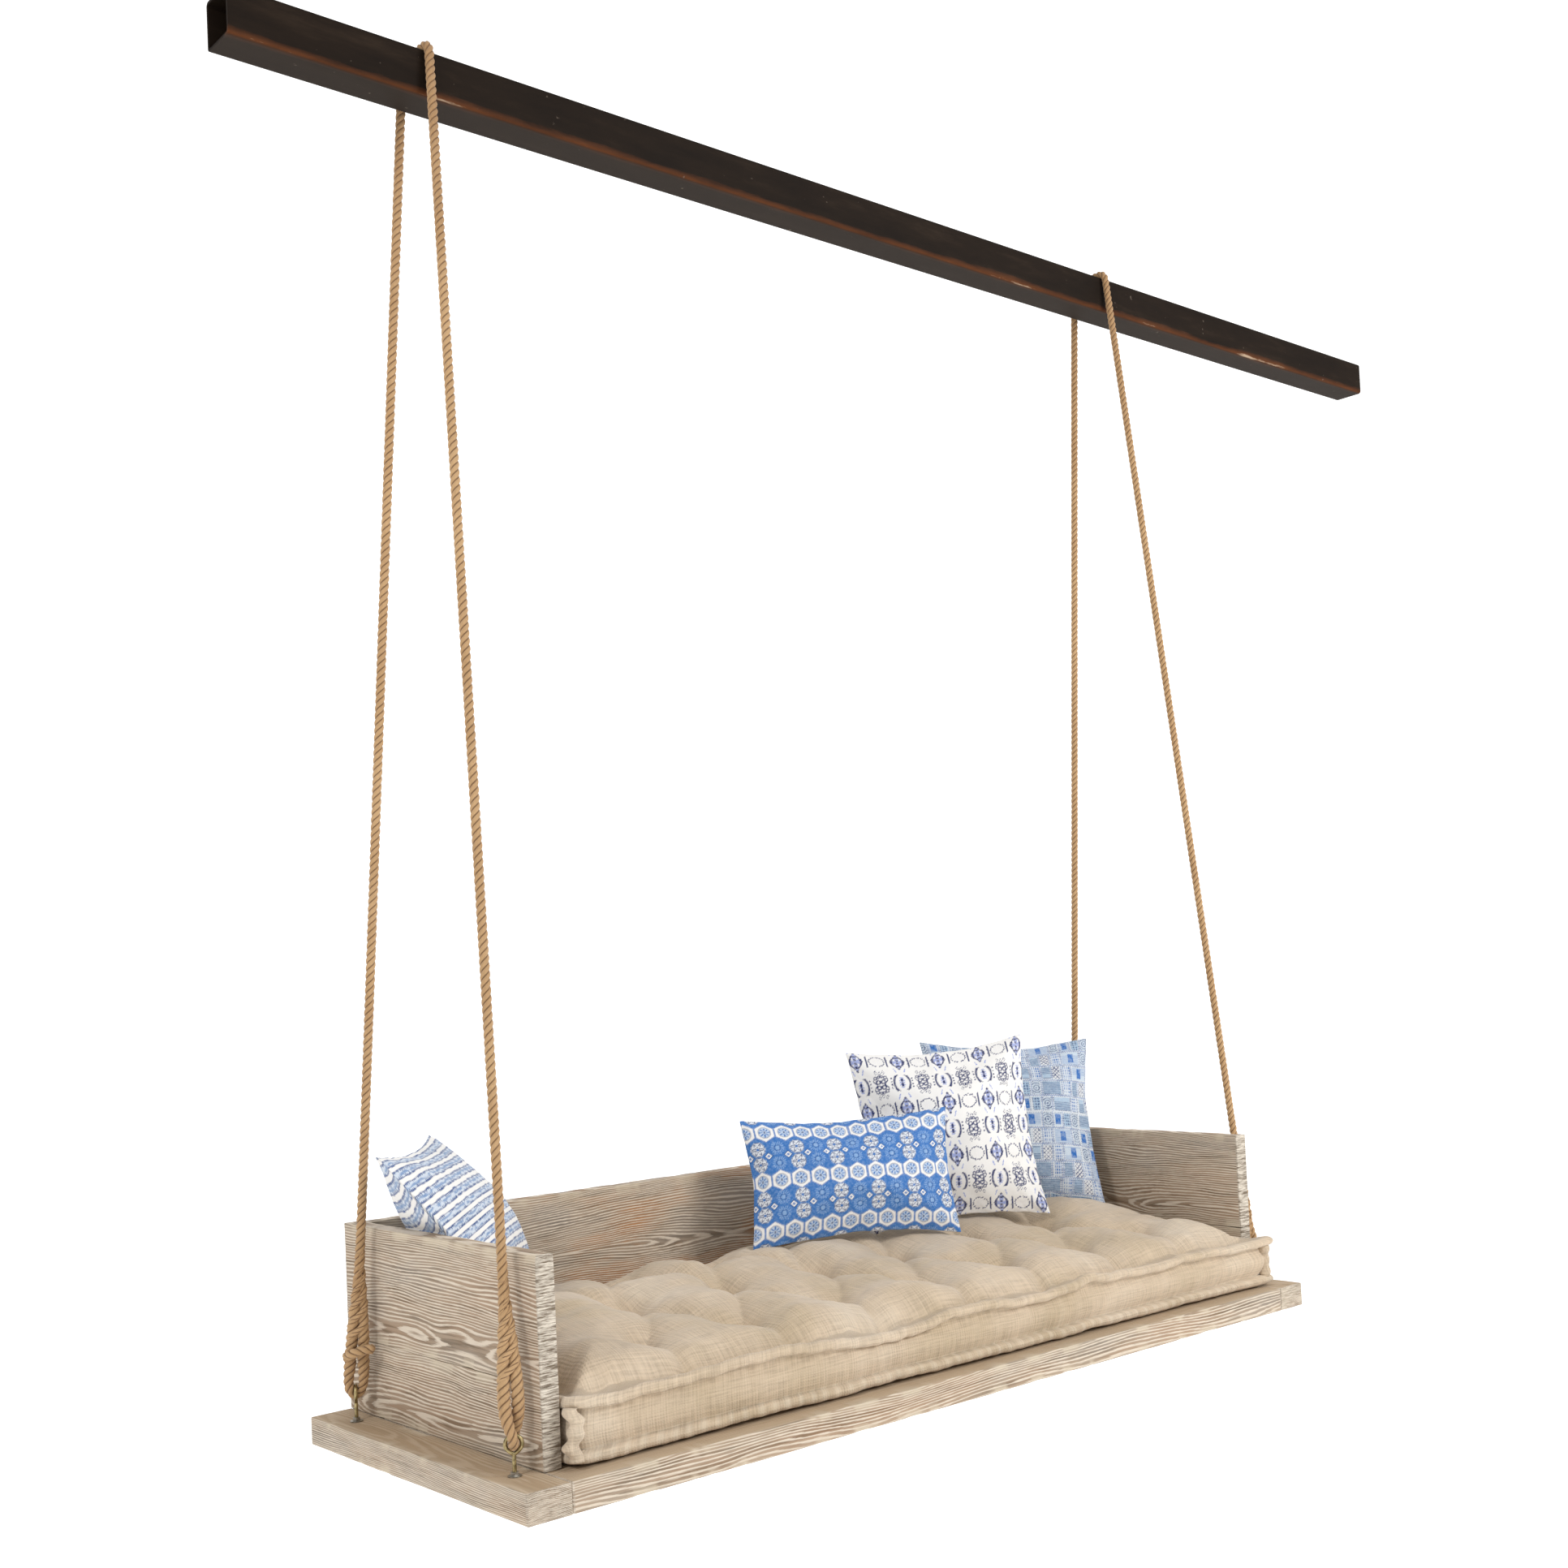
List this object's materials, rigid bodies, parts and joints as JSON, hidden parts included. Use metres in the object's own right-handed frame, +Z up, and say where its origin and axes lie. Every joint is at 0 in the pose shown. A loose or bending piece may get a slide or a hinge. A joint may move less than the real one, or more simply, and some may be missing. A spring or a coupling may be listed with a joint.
{
  "type": "hanging porch swing daybed",
  "caption": "Hanging daybed swing: oak platform with a low three-sided surround, mattress and loose pillows, hung by spliced ropes from a square steel beam.",
  "frame": {"origin": "centre line of the steel beam, midway between the two ropes", "axes": "+X along the beam, to the right for a person facing the seat from the front; +Y to the back; +Z up"},
  "size_m": [3.439, 0.8476, 2.6506],
  "materials": {
    "beam_steel": "hot-rolled mill scale, lightly rusted",
    "rope": "laid natural-fibre rope",
    "gold_zinc_steel": "yellow zinc plated",
    "zinc_steel": "zinc plated",
    "weathered_oak": "limed grey, saw-textured",
    "dowel_wood": "plain beech",
    "linen": "natural linen weave",
    "filling": "polyester and cotton filling",
    "blue_tile_print": "printed cotton",
    "navy_damask_print": "printed cotton",
    "patchwork_print": "printed cotton",
    "blue_stripe_print": "printed cotton"
  },
  "bodies": {
    "beam": {"beam": "beam_steel", "rope_bight_left": "rope", "rope_bight_right": "rope"},
    "mattress": {"mattress_bottom_roll": "linen", "mattress_cover": "linen", "mattress_filling": "filling", "mattress_top_roll": "linen", "tufting_ties": "linen"},
    "lumbar_pillow": {"lumbar_pillow_cover": "blue_tile_print", "lumbar_pillow_insert": "filling"},
    "ikat_pillow": {"ikat_pillow_cover": "navy_damask_print", "ikat_pillow_insert": "filling"},
    "patchwork_pillow": {"patchwork_pillow_cover": "patchwork_print", "patchwork_pillow_insert": "filling"},
    "striped_pillow": {"striped_pillow_cover": "blue_stripe_print", "striped_pillow_insert": "filling"},
    "swing": {"back_panel_lower": "weathered_oak", "back_panel_upper": "weathered_oak", "bottom_nuts": "zinc_steel", "bottom_washers": "zinc_steel", "breadboard_pegs": "dowel_wood", "corner_dowels": "dowel_wood", "deck_board_1": "weathered_oak", "deck_board_2": "weathered_oak", "deck_board_3": "weathered_oak", "deck_board_4": "weathered_oak", "deck_board_5": "weathered_oak", "deck_board_6": "weathered_oak", "deck_splines": "dowel_wood", "end_rail_left": "weathered_oak", "end_rail_right": "weathered_oak", "eye_bolt_front_left": "gold_zinc_steel", "eye_bolt_front_right": "gold_zinc_steel", "eye_bolt_rear_left": "gold_zinc_steel", "eye_bolt_rear_right": "gold_zinc_steel", "eye_splice_front_left": "rope", "eye_splice_front_right": "rope", "eye_splice_rear_left": "rope", "eye_splice_rear_right": "rope", "panel_screws": "zinc_steel", "plank_dowels": "dowel_wood", "rope_leg_front_left": "rope", "rope_leg_front_right": "rope", "rope_leg_rear_left": "rope", "rope_leg_rear_right": "rope", "side_panel_left_lower": "weathered_oak", "side_panel_left_upper": "weathered_oak", "side_panel_right_lower": "weathered_oak", "side_panel_right_upper": "weathered_oak", "top_nuts": "zinc_steel", "top_washers": "zinc_steel"}
  },
  "joints": [
    {"name": "swing_hinge", "type": "hinge", "parent": "beam", "child": "swing", "pos_m": [0, 0, -0.055], "axis": [1, 0, 0], "range_deg": [-18, 18]},
    {"name": "mattress_lift", "type": "slide", "parent": "swing", "child": "mattress", "axis": [0, 0, 1], "range_m": [0, 0.3]},
    {"name": "lumbar_pillow_lift", "type": "slide", "parent": "mattress", "child": "lumbar_pillow", "axis": [0, 0, 1], "range_m": [0, 0.2]},
    {"name": "ikat_pillow_lift", "type": "slide", "parent": "mattress", "child": "ikat_pillow", "axis": [-0.128, 0.22, 0.9671], "range_m": [0, 0.2]},
    {"name": "patchwork_pillow_lift", "type": "slide", "parent": "mattress", "child": "patchwork_pillow", "axis": [-0.174, 0.3021, 0.9373], "range_m": [0, 0.2]},
    {"name": "striped_pillow_lift", "type": "slide", "parent": "mattress", "child": "striped_pillow", "axis": [0, 0, 1], "range_m": [0, 0.2]}
  ]
}
